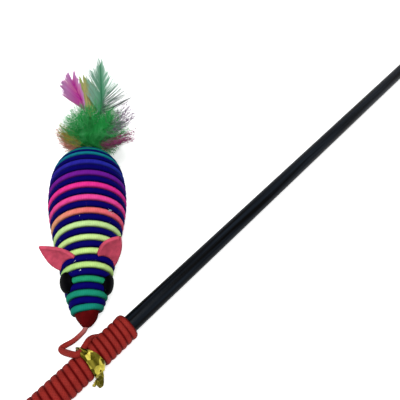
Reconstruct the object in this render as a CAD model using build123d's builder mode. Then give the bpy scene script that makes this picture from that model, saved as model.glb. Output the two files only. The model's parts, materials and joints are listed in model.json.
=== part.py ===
from build123d import *

import os
from math import cos, hypot, pi, radians, sin, sqrt, tan

# Cat teaser wand: a round rod with a grip at one end and a cap at the tip, an elastic cord wound on the
# rod near the tip and held by a twist tie, and a yarn-wound toy mouse with a feather tail on the cord.
# Frame: origin on the rod's axis at the middle of the grip, +X along the rod to the tip, +Z up.
# The wand lies on a level surface with the mouse beside it, on the -Y side.
# Lengths are in millimetres and angles in degrees.

# Rod, grip and tip cap
rod_diameter = 6.0
rod_chamfer = 0.4
bare_rod_length = 215.0
end_diameter = 10.0
grip_length = 95.0
grip_seat_depth = 80.0
tip_cap_length = 24.0
tip_cap_seat_depth = 15.0
rim_round = 0.8
seat_clearance = 0.05

# Cord and its winding
cord_diameter = 1.6
cord_seat = 0.13
winding_pitch = 2.1
front_turns = 6
rear_turns = 15
tie_step = 4.6
winding_end_angle = 150.0
hitch_knot_diameter = 3.2
hitch_to_cap = 0.3
# Points worked out along each quarter turn of the cord or a yarn
quarter_steps = 6

# Cord from the winding's rod-side end back over it to the tie: along, across and above the rod's axis,
# with the first number counted from the winding's rod-side end
return_points = [
    (1.9, -5.4, -2.8),
    (4.6, -4.8, -3.4),
    (7.6, -5.3, -2.6),
    (10.3, -6.0, -0.6),
    (12.3, -5.7, 2.3),
    (13.9, -4.5, 4.2),
    (15.6, -3.4, 5.1),
    (17.3, -3.4, 5.1),
    (18.9, -4.7, 4.0),
]
return_start_run = 1.7
lead_pivot = (19.9, -7.0, 1.9)
# Free cord from the pivot to the nose, in the same numbers
lead_points = [
    (20.6, -8.8, 0.5),
    (20.2, -10.3, -0.4),
    (18.2, -11.0, -0.7),
    (16.6, -9.6, -0.4),
    (14.0, -8.5, 0.2),
]
pivot_gap = 0.25
nose_run = 2.0
cord_play = 0.06
nose_knot_diameter = 3.8
nose_knot_gap = 0.3

# Twist tie of foil
tie_width = 4.0
tie_thickness = 0.17
tie_play = 0.08
tie_cord_play = 0.3
twist_width = 2.2
twist_thickness = 1.0
twist_steps = 6
twist_turn = 270.0
twist_start = (15.1, 5.9, 0.8)
twist_end = (17.0, 6.4, -2.0)
tail_ends = [(19.4, 6.3, -3.7), (17.4, 7.6, -4.0)]
tail_width = 1.8
tail_thickness = 0.3

# Mouse body, measured along its axis from the tip of the nose
nose_ahead = 9.7
nose_aside = 9.7
mouse_heading = 230.0
mouse_tilt = 10.0
body_width = 28.6
widest_station = 46.0
tail_station = 67.0
cone_slope = 0.255
shoulder = 2.3
rear_fullness = 2.4
belly_flat = 0.5
yarn_diameter = 1.8
yarn_row_at_nose = 2.22
yarn_row_growth = 0.62
yarn_start_station = 4.4
yarn_start_angle = -4.0
yarn_end_radius = 5.2
yarn_seat = 0.3
core_wall = 1.5
core_face_station = 3.2
core_split_station = 38.0
core_tail_station = 65.2
core_end_wall = 3.0
spigot_length = 5.0
spigot_wall = 0.9
spigot_clearance = 0.1
nose_cap_width = 7.6
nose_cap_bulge = 0.5
trim_seat = 0.1
ear_thickness = 1.2
ear_tip_round = 1.2
# Each ear: name, its two corners on the body as station and angle from the top to the left, and its tip, also
# with a radius
ears = [
    ("left_ear", (21.1, 18.0), (18.3, 62.0), (24.1, 50.0, 17.6)),
    ("right_ear", (20.8, -24.0), (17.2, -67.0), (22.7, -48.0, 18.6)),
]
eye_diameter = 9.4
eye_sunk = 3.0
# Each eye: name, station and angle from the top to the left
eyes = [("left_eye", 13.9, 57.0), ("right_eye", 12.0, -76.0)]

# Feather tail
bead_diameter = 5.0
bead_play = 0.1
bead_station = 63.9
neck_diameter = 3.0
neck_end_station = 73.0
tuft_station = 80.0
tuft_length = 22.0
tuft_width = 27.0
tuft_steps = 8
feather_root_station = 71.0
feather_base_gap = 0.85
feather_base_width = 0.8
feather_thickness = 0.8
# Each feather: name, yaw to the mouse's left, pitch up, reach from the root, width
feathers = [
    ("hackle_green", -10.0, 11.0, 44.0, 10.0),
    ("feather_magenta", 9.0, 17.0, 38.0, 10.0),
    ("feather_olive", -1.0, 3.0, 34.0, 9.0),
    ("feather_purple", -70.0, -8.0, 22.0, 6.0),
    ("feather_wisp", -49.0, 6.0, 26.0, 7.0),
    ("feather_salmon", 55.0, -10.0, 21.0, 6.0),
    ("feather_lime", 31.0, 2.0, 25.5, 7.0),
]

# Places that follow from the sizes above
rod_radius = rod_diameter / 2
end_radius = end_diameter / 2
cord_radius = cord_diameter / 2
yarn_radius = yarn_diameter / 2
floor_height = -end_radius
winding_start = grip_length / 2 + bare_rod_length
winding_radius = rod_radius + cord_seat + cord_radius
total_turns = rear_turns + 1 + front_turns
winding_tip_x = winding_start + cord_radius + winding_pitch * (front_turns + rear_turns) + tie_step
hitch_x = winding_tip_x + winding_pitch
cap_rim_x = hitch_x + cord_radius + hitch_to_cap
turn_steps = 4 * quarter_steps
rod_start = grip_length / 2 - grip_seat_depth
rod_end = cap_rim_x + tip_cap_seat_depth

os.makedirs("parts", exist_ok=True)


def from_winding(place):
    """Point given along, across and above the rod's axis, counted from the winding's rod-side end."""
    return Vector(winding_start + place[0], place[1], place[2])


def unit_steps(points):
    """Unit vectors along a list of points, by differences between the neighbours of each."""
    last = len(points) - 1
    return [(points[min(i + 1, last)] - points[max(i - 1, 0)]).normalized() for i in range(last + 1)]


def biarc(start, start_way, end, end_way):
    """Two arcs that join two points and leave and reach them in the given directions."""
    chord = end - start
    ways = start_way + end_way
    square = 2 * (start_way.dot(end_way) - 1)
    half = chord.dot(ways)
    reach = (half - sqrt(half**2 - square * chord.dot(chord))) / square
    first = start + start_way * reach
    second = end - end_way * reach
    joint = (first + second) * 0.5
    TangentArc(start, joint, tangent=start_way)
    TangentArc(joint, end, tangent=(second - first).normalized())


def wound_tube(points, diameter, fine):
    """Tube swept along points of a winding, on biarcs from each fine-th point to the next, with straight ends."""
    ways = unit_steps(points)
    knots = range(0, len(points) - fine, fine)
    last = knots[-1] + fine
    with BuildPart() as tube:
        with BuildLine() as route:
            Line(points[0] - ways[0] * diameter, points[0])
            for i in knots:
                biarc(points[i], ways[i], points[i + fine], ways[i + fine])
            Line(points[last], points[last] + ways[last] * diameter)
        with BuildSketch(Plane(origin=route.line @ 0, z_dir=route.line % 0)):
            Circle(diameter / 2)
        sweep()
    return tube.part


def least_gap(points, per_turn, diameter):
    """Least clear gap between a winding's turns, measured on its points."""
    apart = per_turn // 2
    gaps = [
        (points[i] - points[j]).length
        for i in range(len(points))
        for j in range(i + apart, min(i + 2 * per_turn, len(points)))
    ]
    return min(gaps) - diameter


def bend_radii(points):
    """Largest radius at each corner that its two runs allow."""
    radii = []
    for before, corner, after in zip(points, points[1:], points[2:]):
        turn = radians((corner - before).get_angle(after - corner))
        shorter = min((corner - before).length, (after - corner).length)
        radii.append(0.45 * shorter / tan(turn / 2))
    return radii


def cord_tube(name, points):
    """Tube of the cord along straight runs and tangent arcs."""
    radii = bend_radii(points)
    with BuildPart() as tube:
        with BuildLine() as route:
            FilletPolyline(points, radius=radii)
        with BuildSketch(Plane(origin=route.line @ 0, z_dir=route.line % 0)):
            Circle(cord_radius)
        sweep()
    length = route.wire().length
    expected = pi * cord_radius**2 * length
    print(name, "bend radii", [round(r, 2) for r in radii], "length", round(length, 2))
    print(name, "volume", round(tube.part.volume, 3), "section times length", round(expected, 3))
    return tube.part


# Rod
with BuildPart() as rod:
    with BuildSketch(Plane.YZ.offset(rod_start)):
        Circle(rod_radius)
    extrude(amount=rod_end - rod_start)
    chamfer(rod.edges().filter_by(GeomType.CIRCLE), rod_chamfer)
rod.part.label = "rod"
export_step(rod.part, "parts/rod.step")

# Grip: a sleeve closed and rounded at its far end
with BuildPart() as handle_grip:
    with BuildSketch(Plane.YZ.offset(-grip_length / 2)):
        Circle(end_radius)
    extrude(amount=grip_length)
    fillet(handle_grip.faces().sort_by(Axis.X)[0].edges(), end_radius - rim_round)
    fillet(handle_grip.faces().sort_by(Axis.X)[-1].edges(), rim_round)
    with BuildSketch(Plane.YZ.offset(grip_length / 2)):
        Circle(rod_radius + seat_clearance)
    extrude(amount=-grip_seat_depth - seat_clearance, mode=Mode.SUBTRACT)
handle_grip.part.label = "handle_grip"
export_step(handle_grip.part, "parts/handle_grip.step")

# Tip cap: a short closed cap with a round end
with BuildPart() as tip_cap:
    with BuildSketch(Plane.YZ.offset(cap_rim_x)):
        Circle(end_radius)
    extrude(amount=tip_cap_length)
    fillet(tip_cap.faces().sort_by(Axis.X)[-1].edges(), end_radius - rim_round)
    fillet(tip_cap.faces().sort_by(Axis.X)[0].edges(), rim_round)
    with BuildSketch(Plane.YZ.offset(cap_rim_x)):
        Circle(rod_radius + seat_clearance)
    extrude(amount=tip_cap_seat_depth + seat_clearance, mode=Mode.SUBTRACT)
tip_cap.part.label = "tip_cap"
export_step(tip_cap.part, "parts/tip_cap.step")

# Cord winding: from the tip side to the rod side, with one wide step under the tie


def winding_point(turn):
    """Point of the winding's centre line, counted in turns from its tip-side end."""
    rear = min(turn, rear_turns)
    step = min(max(turn - rear_turns, 0), 1)
    front = max(turn - rear_turns - 1, 0)
    x = winding_tip_x - winding_pitch * (rear + front) - tie_step * step
    angle = radians(winding_end_angle + 360 * turn)
    return Vector(x, winding_radius * cos(angle), winding_radius * sin(angle))


winding_points = [winding_point(i / turn_steps) for i in range(total_turns * turn_steps + 1)]
cord_winding = wound_tube(winding_points, cord_diameter, quarter_steps)
print("winding least gap", round(least_gap(winding_points, turn_steps, cord_diameter), 3))
cord_winding.label = "cord_winding"
export_step(cord_winding, "parts/cord_winding.step")

# Hitch: the loop and knot that tie the cord to the rod beside the tip cap
winding_ways = unit_steps(winding_points)
knot_place = winding_points[0] - winding_ways[0] * (cord_diameter + hitch_knot_diameter / 2)
with BuildPart() as cord_hitch:
    with BuildSketch(Plane.XY):
        with Locations((hitch_x, winding_radius)):
            Circle(cord_radius)
    revolve(axis=Axis.X)
    with Locations(knot_place):
        Sphere(hitch_knot_diameter / 2)
cord_hitch.part.label = "cord_hitch"
export_step(cord_hitch.part, "parts/cord_hitch.step")

# Return: from the winding's rod-side end over the winding to the pivot beside the tie
winding_end = winding_points[-1] + winding_ways[-1] * cord_diameter
pivot = from_winding(lead_pivot)
last_corner = from_winding(return_points[-1])
return_end = pivot - (pivot - last_corner).normalized() * (cord_radius + pivot_gap)
first_corner = winding_end + winding_ways[-1] * return_start_run
return_route = [winding_end, first_corner] + [from_winding(p) for p in return_points] + [return_end]
cord_return = cord_tube("return", return_route)
cord_return.label = "cord_return"
export_step(cord_return, "parts/cord_return.step")

# Twist tie band: a foil loop round the winding and the cord that passes under it
tie_middle = winding_start + cord_radius + winding_pitch * front_turns + tie_step / 2
tie_edges = [tie_middle - tie_width / 2, tie_middle + tie_width / 2]


def route_at(route, x):
    """Point where a route crosses a plane square to the rod."""
    for start, end in zip(route, route[1:]):
        if start.X <= x <= end.X:
            return start + (end - start) * ((x - start.X) / (end.X - start.X))
    raise ValueError("the route doesn't cross the plane")


held_cord = [p for p in return_route if tie_edges[0] < p.X < tie_edges[1]]
held_cord += [route_at(return_route, x) for x in tie_edges]
winding_outside = winding_radius + cord_radius + tie_play
with BuildPart() as twist_tie_band:
    for grow, mode in ((tie_thickness, Mode.ADD), (0, Mode.SUBTRACT)):
        with BuildSketch(Plane.YZ.offset(tie_edges[0])):
            with BuildLine():
                CenterArc((0, 0), winding_outside + grow, 0, 360)
                for point in held_cord:
                    CenterArc((point.Y, point.Z), cord_radius + tie_cord_play + grow, 0, 360)
            make_hull()
        extrude(amount=tie_width, mode=mode)
twist_tie_band.part.label = "twist_tie_band"
export_step(twist_tie_band.part, "parts/twist_tie_band.step")

# Twisted ends of the tie: a bar that turns as it leaves the band, and two flat tails
twist_from = from_winding(twist_start)
twist_to = from_winding(twist_end)
twist_way = (twist_to - twist_from).normalized()
with BuildPart() as twist_tie_twist:
    for i in range(twist_steps + 1):
        share = i / twist_steps
        flat_way = Vector(0, 1, 0).rotate(Axis((0, 0, 0), twist_way), twist_turn * share)
        across = (flat_way - twist_way * flat_way.dot(twist_way)).normalized()
        with BuildSketch(Plane(origin=twist_from + (twist_to - twist_from) * share, x_dir=across, z_dir=twist_way)):
            Rectangle(twist_thickness, twist_width)
    loft(ruled=True)
twist_tie_twist.part.label = "twist_tie_twist"
export_step(twist_tie_twist.part, "parts/twist_tie_twist.step")

with BuildPart() as twist_tie_tails:
    for end in tail_ends:
        tail_way = (from_winding(end) - twist_to).normalized()
        tail_start = twist_to + tail_way * twist_width / 2
        tail_side = tail_way.cross(twist_way).normalized()
        with BuildSketch(Plane(origin=tail_start, x_dir=tail_way, z_dir=tail_side.cross(tail_way))):
            with BuildLine():
                tail_reach = (from_winding(end) - tail_start).length
                Polyline(
                    (0, -twist_thickness / 2),
                    (tail_reach, -tail_width / 2),
                    (tail_reach, tail_width / 2),
                    (0, twist_thickness / 2),
                    close=True,
                )
            make_face()
        extrude(amount=tail_thickness / 2, both=True)
twist_tie_tails.part.label = "twist_tie_tails"
export_step(twist_tie_tails.part, "parts/twist_tie_tails.step")

# Mouse frame: its axis runs from the nose to the tail, and its belly rests on the surface


def ovoid(station):
    """Radius of the yarn's centre line round the mouse's axis."""
    widest = body_width / 2 - yarn_radius
    if station <= widest_station:
        return widest - hypot(cone_slope * (widest_station - station), shoulder) + shoulder
    share = (station - widest_station) / (tail_station - widest_station)
    return widest * (1 - share**rear_fullness) ** (1 / rear_fullness)


def ovoid_slope(station):
    """Slope of the ovoid's outline."""
    step = 0.01
    return (ovoid(station + step) - ovoid(station - step)) / (2 * step)


def layer(station, depth):
    """Radius of a surface at a depth under the yarn's centre line."""
    return ovoid(station) - depth * hypot(1, ovoid_slope(station))


tilt = radians(mouse_tilt)
heading = radians(mouse_heading)
mouse_way = Vector(cos(heading) * cos(tilt), sin(heading) * cos(tilt), sin(tilt))
mouse_left = Vector(-sin(heading), cos(heading), 0)
mouse_up = mouse_way.cross(mouse_left)
belly_drop = max(ovoid(s) * cos(tilt) - s * sin(tilt) for s in range(round(tail_station))) + yarn_radius
nose_tip = Vector(winding_start + nose_ahead, -nose_aside, floor_height - belly_flat + belly_drop)
mouse_axis = Axis(nose_tip, mouse_way)
mouse_side = Plane(origin=nose_tip, x_dir=mouse_way, z_dir=-mouse_left)


def on_mouse(station, angle, radius):
    """Point at a station along the mouse, an angle from its top towards its left, and a radius."""
    out = mouse_up * cos(radians(angle)) + mouse_left * sin(radians(angle))
    return nose_tip + mouse_way * station + out * radius


# Yarn: two tubes side by side, each winding from the nose to the tail


def yarn_points(first_angle):
    """Centre line of one yarn, in rows along the ovoid's outline that widen towards the tail."""
    points = []
    station = yarn_start_station
    while station < widest_station or ovoid(station) > yarn_end_radius:
        angle = first_angle - 360 * len(points) / turn_steps
        points.append(on_mouse(station, angle, ovoid(station)))
        share = (station - yarn_start_station) / (tail_station - yarn_start_station)
        row = yarn_row_at_nose + yarn_row_growth * share**2
        station += 2 * row / turn_steps / hypot(1, ovoid_slope(station))
    return points


for yarn_name, first_angle in (("yarn_rainbow", yarn_start_angle), ("yarn_navy", yarn_start_angle + 180)):
    centre_line = yarn_points(first_angle)
    print(yarn_name, "turns", round(len(centre_line) / turn_steps, 2))
    print(yarn_name, "least gap", round(least_gap(centre_line, turn_steps, yarn_diameter), 3))
    with BuildPart() as yarn:
        add(wound_tube(centre_line, yarn_diameter, quarter_steps))
        split(bisect_by=Plane.XY.offset(floor_height), keep=Keep.TOP)
    yarn.part.label = yarn_name
    export_step(yarn.part, f"parts/{yarn_name}.step")

# Core: two hollow halves that plug together under the yarn
outer_depth = yarn_radius + yarn_seat
inner_depth = outer_depth + core_wall
cord_hole_radius = cord_radius + cord_play
front_stations = [core_face_station, 12, 20, 28, core_split_station]
rear_stations = [core_split_station, 43, 48, 52, 55.5, 58.5, core_tail_station - core_end_wall, core_tail_station]


def outline(stations, depth):
    """Points of the core's outline at a depth under the yarn."""
    return [(s, layer(s, depth)) for s in stations]


cavity_start = core_face_station + core_end_wall
cavity_end = core_tail_station - core_end_wall
spigot_radius = layer(core_split_station, inner_depth)
with BuildPart() as core_front_shell:
    with BuildSketch(mouse_side):
        with BuildLine():
            outer = Spline(*outline(front_stations, outer_depth))
            inner = Spline(*outline([cavity_start] + front_stations[1:], inner_depth))
            Line(outer @ 1, inner @ 1)
            Polyline(inner @ 0, (cavity_start, cord_hole_radius), (core_face_station, cord_hole_radius), outer @ 0)
        make_face()
    revolve(axis=mouse_axis)
core_front_shell.part.label = "core_front_shell"
export_step(core_front_shell.part, "parts/core_front_shell.step")

spigot_start = core_split_station - spigot_length
spigot_outside = layer(spigot_start, inner_depth) - spigot_clearance
bead_hole_radius = bead_diameter / 2 + bead_play
with BuildPart() as core_rear_shell:
    with BuildSketch(mouse_side):
        with BuildLine():
            outer = Spline(*outline(rear_stations, outer_depth))
            inner = Spline(*outline(rear_stations[:-1], inner_depth))
            Polyline(outer @ 1, (core_tail_station, bead_hole_radius), (cavity_end, bead_hole_radius), inner @ 1)
            Line(outer @ 0, inner @ 0)
        make_face()
    revolve(axis=mouse_axis)
    with BuildSketch(mouse_side):
        with BuildLine():
            Polyline(
                (spigot_start, spigot_outside),
                (core_split_station, spigot_outside),
                (core_split_station + spigot_wall, spigot_radius + core_wall / 2),
                (core_split_station + spigot_length, spigot_radius + core_wall / 2),
                (core_split_station + spigot_length, spigot_outside - spigot_wall),
                (spigot_start, spigot_outside - spigot_wall),
                close=True,
            )
        make_face()
    revolve(axis=mouse_axis)
core_rear_shell.part.label = "core_rear_shell"
export_step(core_rear_shell.part, "parts/core_rear_shell.step")

# Nose: a felt cone over the front of the core, pierced for the cord
with BuildPart() as nose_cap:
    with BuildSketch(mouse_side):
        with BuildLine():
            tip = (0, cord_hole_radius)
            rim = (core_face_station, nose_cap_width / 2)
            SagittaArc(tip, rim, -nose_cap_bulge)
            Polyline(rim, (core_face_station, cord_hole_radius), tip)
        make_face()
    revolve(axis=mouse_axis)
nose_cap.part.label = "nose_cap"
export_step(nose_cap.part, "parts/nose_cap.step")

# Space taken by the yarn-covered body, which the ears and eyes are seated on
body_stations = [yarn_start_station - yarn_radius, 12, 20, 28, 36, widest_station]
with BuildPart() as body_space:
    with BuildSketch(mouse_side):
        with BuildLine():
            skin = Spline(*outline(body_stations, -yarn_radius - trim_seat))
            Polyline(skin @ 1, (body_stations[-1], 0), (body_stations[0], 0), skin @ 0)
        make_face()
    revolve(axis=mouse_axis)

# Ears: felt leaves that stand on the body
for ear_name, inner_place, outer_place, tip_place in ears:
    inner_corner = on_mouse(*inner_place, ovoid(inner_place[0]))
    outer_corner = on_mouse(*outer_place, ovoid(outer_place[0]))
    ear_tip = on_mouse(*tip_place)
    base_way = (outer_corner - inner_corner).normalized()
    middle = (inner_corner + outer_corner) * 0.5
    rise = ear_tip - middle
    height = (rise - base_way * rise.dot(base_way)).length
    slant = rise.dot(base_way)
    half_base = (outer_corner - inner_corner).length / 2
    with BuildPart() as ear:
        with BuildSketch(Plane(origin=middle, x_dir=base_way, z_dir=base_way.cross(rise).normalized())):
            with BuildLine():
                ThreePointArc((-half_base, 0), (-half_base * 0.8 + slant * 0.4, height * 0.55), (slant, height))
                ThreePointArc((slant, height), (half_base * 0.8 + slant * 0.4, height * 0.55), (half_base, 0))
                Line((half_base, 0), (-half_base, 0))
            leaf = make_face()
            fillet(leaf.vertices().sort_by(Axis.Y)[-1], ear_tip_round)
        extrude(amount=ear_thickness / 2, both=True)
        add(body_space.part, mode=Mode.SUBTRACT)
    ear.part.label = ear_name
    export_step(ear.part, f"parts/{ear_name}.step")

# Eyes: domed black beads on the sides of the head
for eye_name, eye_station, eye_angle in eyes:
    skin_radius = layer(eye_station, -yarn_radius)
    with BuildPart() as eye:
        with Locations(on_mouse(eye_station, eye_angle, skin_radius - eye_sunk)):
            Sphere(eye_diameter / 2)
        add(body_space.part, mode=Mode.SUBTRACT)
        add(nose_cap.part, mode=Mode.SUBTRACT)
    eye.part.label = eye_name
    export_step(eye.part, f"parts/{eye_name}.step")

# Lead: the free cord from its pivot beside the tie, into the nose, to a stopper knot in the core
knot_station = cavity_start + nose_knot_gap + nose_knot_diameter / 2
lead_end = nose_tip + mouse_way * (knot_station - nose_knot_diameter / 2)
nose_corner = nose_tip - mouse_way * nose_run
lead_route = [pivot] + [from_winding(p) for p in lead_points] + [nose_corner, lead_end]
with BuildPart() as cord_lead:
    add(cord_tube("lead", lead_route))
    with Locations(pivot):
        Sphere(cord_radius)
cord_lead.part.label = "cord_lead"
export_step(cord_lead.part, "parts/cord_lead.step")

with BuildPart() as cord_nose_knot:
    with Locations(nose_tip + mouse_way * knot_station):
        Sphere(nose_knot_diameter / 2)
cord_nose_knot.part.label = "cord_nose_knot"
export_step(cord_nose_knot.part, "parts/cord_nose_knot.step")

# Feather bead: a ball of glue in the core's tail hole, with a neck that carries the feathers
bead_place = nose_tip + mouse_way * bead_station
with BuildPart() as feather_bead:
    with Locations(bead_place):
        Sphere(bead_diameter / 2)
    with BuildSketch(Plane(origin=bead_place, z_dir=mouse_way)):
        Circle(neck_diameter / 2)
    extrude(amount=neck_end_station - bead_station)
feather_bead.part.label = "feather_bead"
export_step(feather_bead.part, "parts/feather_bead.step")

# Tuft: a ball of fluff round the neck
tuft_angles = [radians(180 * i / tuft_steps) for i in range(tuft_steps + 1)]
tuft_outline = [(tuft_station - tuft_length / 2 * cos(a), tuft_width / 2 * sin(a)) for a in tuft_angles]
with BuildPart() as feather_tuft:
    with BuildSketch(mouse_side):
        with BuildLine():
            crown = Spline(*tuft_outline, tangents=((0, 1), (0, -1)))
            Line(crown @ 1, crown @ 0)
        make_face()
    revolve(axis=mouse_axis)
    add(feather_bead.part, mode=Mode.SUBTRACT)
feather_tuft.part.label = "feather_tuft"
export_step(feather_tuft.part, "parts/feather_tuft.step")


def tuft_reach(way):
    """Distance from the feathers' root to the tuft's surface in a direction."""
    along = way.dot(mouse_way)
    across = sqrt(1 - along**2)
    back = feather_root_station - tuft_station
    a = (along / (tuft_length / 2)) ** 2 + (across / (tuft_width / 2)) ** 2
    b = back * along / (tuft_length / 2) ** 2
    c = (back / (tuft_length / 2)) ** 2 - 1
    return (-b + sqrt(b**2 - a * c)) / a


# Longer feathers: flat leaves that fan out from the tuft
feather_root = nose_tip + mouse_way * feather_root_station
for feather_name, yaw, pitch, reach, width in feathers:
    flat = mouse_way * cos(radians(yaw)) + mouse_left * sin(radians(yaw))
    way = flat * cos(radians(pitch)) + mouse_up * sin(radians(pitch))
    base = tuft_reach(way) + feather_base_gap
    length = reach - base
    face_up = mouse_up * cos(radians(pitch)) - flat * sin(radians(pitch))
    with BuildPart() as feather:
        with BuildSketch(Plane(origin=feather_root + way * base, x_dir=way, z_dir=face_up)):
            with BuildLine():
                ThreePointArc((0, feather_base_width / 2), (length / 2, width / 2), (length, 0))
                ThreePointArc((length, 0), (length / 2, -width / 2), (0, -feather_base_width / 2))
                Line((0, -feather_base_width / 2), (0, feather_base_width / 2))
            make_face()
        extrude(amount=feather_thickness / 2, both=True)
    feather.part.label = feather_name
    export_step(feather.part, f"parts/{feather_name}.step")

print("pivot", pivot, "nose", nose_tip, "mouse way", mouse_way, "up", mouse_up)
print("bead", bead_place, "rod end", rod_end, "cap end", cap_rim_x + tip_cap_length, "winding start", winding_start)
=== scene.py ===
"""Cat teaser wand: looks of the rod, wound cord, foil tie, yarn mouse and feather tail."""

import json
import math

import bpy
import numpy as np
from mathutils import Matrix, Vector


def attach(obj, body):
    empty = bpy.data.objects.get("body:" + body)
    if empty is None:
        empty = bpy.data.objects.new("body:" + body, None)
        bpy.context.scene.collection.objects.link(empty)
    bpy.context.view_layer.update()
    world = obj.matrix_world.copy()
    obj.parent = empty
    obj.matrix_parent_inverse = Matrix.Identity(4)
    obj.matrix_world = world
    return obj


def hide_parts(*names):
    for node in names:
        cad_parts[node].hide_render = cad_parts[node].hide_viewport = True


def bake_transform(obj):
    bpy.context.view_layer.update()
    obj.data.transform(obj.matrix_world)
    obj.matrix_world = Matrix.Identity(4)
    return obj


bl_info = {
    "name": "Cat Teaser Wand",
    "version": (1, 0, 0),
    "blender": (4, 5, 0),
    "location": "3D View > Sidebar > Teaser Wand",
    "description": "Dresses the packed teaser wand: cord, foil tie, yarn mouse and feather tail",
    "category": "Object",
}

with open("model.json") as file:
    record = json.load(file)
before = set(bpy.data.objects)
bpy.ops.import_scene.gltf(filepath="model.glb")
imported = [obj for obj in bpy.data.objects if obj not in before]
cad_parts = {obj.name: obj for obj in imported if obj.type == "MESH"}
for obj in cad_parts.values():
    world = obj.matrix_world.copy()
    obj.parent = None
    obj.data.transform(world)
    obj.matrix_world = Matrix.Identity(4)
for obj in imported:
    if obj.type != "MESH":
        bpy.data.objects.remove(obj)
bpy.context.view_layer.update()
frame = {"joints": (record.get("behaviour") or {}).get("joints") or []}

# Shapes are worked out in millimetres and made in metres
MM = 0.001
JOINTS = {joint["name"]: joint for joint in frame["joints"]}
# Where the winding ends on the rod side, along the rod
WINDING_START = 262.5
ROD_RADIUS = 3.0
FLOOR_HEIGHT = -5.0
# The mouse's frame: nose tip, way to the tail, up and left
NOSE = np.array(JOINTS["mouse_twist"]["pos_m"]) / MM
WAY = np.array(JOINTS["mouse_twist"]["axis"])
UP = np.array(JOINTS["tail_sway"]["axis"])
LEFT = np.cross(UP, WAY)


def srgb(red, green, blue):
    """Linear colour of an 8-bit display colour."""
    shares = [c / 255 for c in (red, green, blue)]
    return tuple(c / 12.92 if c <= 0.04045 else ((c + 0.055) / 1.055) ** 2.4 for c in shares)


def colour_property(name, description, red, green, blue):
    """Colour setting with a display colour as its default."""
    return bpy.props.FloatVectorProperty(
        name=name, description=description, subtype="COLOR", size=3, min=0, max=1, default=srgb(red, green, blue)
    )


def length_property(name, description, millimetres):
    """Length setting in metres."""
    return bpy.props.FloatProperty(
        name=name, description=description, unit="LENGTH", subtype="DISTANCE", default=millimetres * MM, precision=5
    )


class TeaserWandSettings(bpy.types.PropertyGroup):
    """Finish of the rod and its two ends."""

    rod_colour: colour_property("Rod", "Colour of the rod", 9, 13, 18)
    end_colour: colour_property("Ends", "Colour of the grip and the tip cap", 140, 34, 30)


class TeaserCordSettings(bpy.types.PropertyGroup):
    """Size and colour of the cord and the tie."""

    thickness: length_property("Thickness", "Thickness of the free cord", 2.0)
    wound_width: length_property("Wound width", "Width of the cord where it is wound", 2.45)
    wound_height: length_property("Wound height", "Height of the cord where it is wound", 1.52)
    colour: colour_property("Cord", "Colour of the cord", 146, 42, 36)
    # The groove colour also paints the shade between the cord's wound turns
    groove_and_shade: colour_property("Groove", "Colour between the cord's threads", 92, 8, 8)
    foil: colour_property("Foil", "Colour of the foil tie", 230, 214, 96)


class TeaserMouseSettings(bpy.types.PropertyGroup):
    """Size and colours of the mouse."""

    body_width: length_property("Body width", "Width of the yarn-covered body", 28.6)
    yarn_height: length_property("Yarn height", "Height of a row of yarn", 2.3)
    navy: colour_property("Navy", "Colour of the dark yarn", 10, 5, 102)
    nose: colour_property("Nose", "Colour of the nose felt", 88, 8, 10)
    ears: colour_property("Ears", "Colour of the ear felt", 206, 80, 104)
    eyes: colour_property("Eyes", "Colour of the eyes", 4, 4, 6)


class TeaserTailSettings(bpy.types.PropertyGroup):
    """Amount and colours of the feathers."""

    fronds: bpy.props.IntProperty(name="Fronds", description="Number of down fronds", default=720, min=10)
    seed: bpy.props.IntProperty(name="Seed", description="Seed of the feathers' spread", default=7)
    down: colour_property("Down", "Colour of the down", 44, 176, 84)
    down_dark: colour_property("Down shade", "Colour of the deep down", 24, 146, 60)


class TeaserStageSettings(bpy.types.PropertyGroup):
    """Camera and light."""

    focal_length: bpy.props.FloatProperty(
        name="Focal length", description="Focal length of the camera", unit="CAMERA", default=36.208
    )
    floor: colour_property("Floor", "Colour of the floor", 246, 246, 246)


class TeaserSettings(bpy.types.PropertyGroup):
    """All settings of the teaser wand."""

    wand: bpy.props.PointerProperty(type=TeaserWandSettings)
    cord: bpy.props.PointerProperty(type=TeaserCordSettings)
    mouse: bpy.props.PointerProperty(type=TeaserMouseSettings)
    tail: bpy.props.PointerProperty(type=TeaserTailSettings)
    stage: bpy.props.PointerProperty(type=TeaserStageSettings)


# Meshes


def new_piece(name, vertices, faces, material=None, smooth=True):
    """Mesh object from points in millimetres."""
    mesh = bpy.data.meshes.new(name)
    mesh.from_pydata((np.asarray(vertices) * MM).tolist(), [], faces)
    mesh.polygons.foreach_set("use_smooth", [smooth] * len(mesh.polygons))
    if material:
        mesh.materials.append(material)
    piece = bpy.data.objects.new(name, mesh)
    bpy.context.scene.collection.objects.link(piece)
    return piece


def store(piece, name, values, kind="FLOAT", field="value"):
    """Gives a piece an attribute on its points."""
    attribute = piece.data.attributes.new(name, kind, "POINT")
    attribute.data.foreach_set(field, np.asarray(values, np.float32).ravel())


def map_faces(piece, uvs):
    """Gives a piece its UV map, one place for each face corner."""
    piece.data.uv_layers.new(name="UVMap").data.foreach_set("uv", np.ravel(uvs))


def settle(piece, body, slot, *nodes):
    """Rides a piece on its body and lets it stand for the plain solids."""
    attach(piece, body)
    if nodes:
        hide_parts(*nodes)


def paint_node(node, material):
    """Gives a plain solid its finish."""
    slots = bpy.data.objects[node].data.materials
    slots.clear()
    slots.append(material)


def apply_modifiers(piece):
    """Makes the evaluated shape the piece's own mesh."""
    graph = bpy.context.evaluated_depsgraph_get()
    mesh = bpy.data.meshes.new_from_object(piece.evaluated_get(graph))
    piece.modifiers.clear()
    piece.data = mesh


def unit(vectors):
    """Vectors of length one."""
    vectors = np.asarray(vectors, float)
    return vectors / np.linalg.norm(vectors, axis=-1, keepdims=True)


def tangents_of(points):
    """Unit directions along a line of points."""
    return unit(np.gradient(np.asarray(points, float), axis=0))


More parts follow.
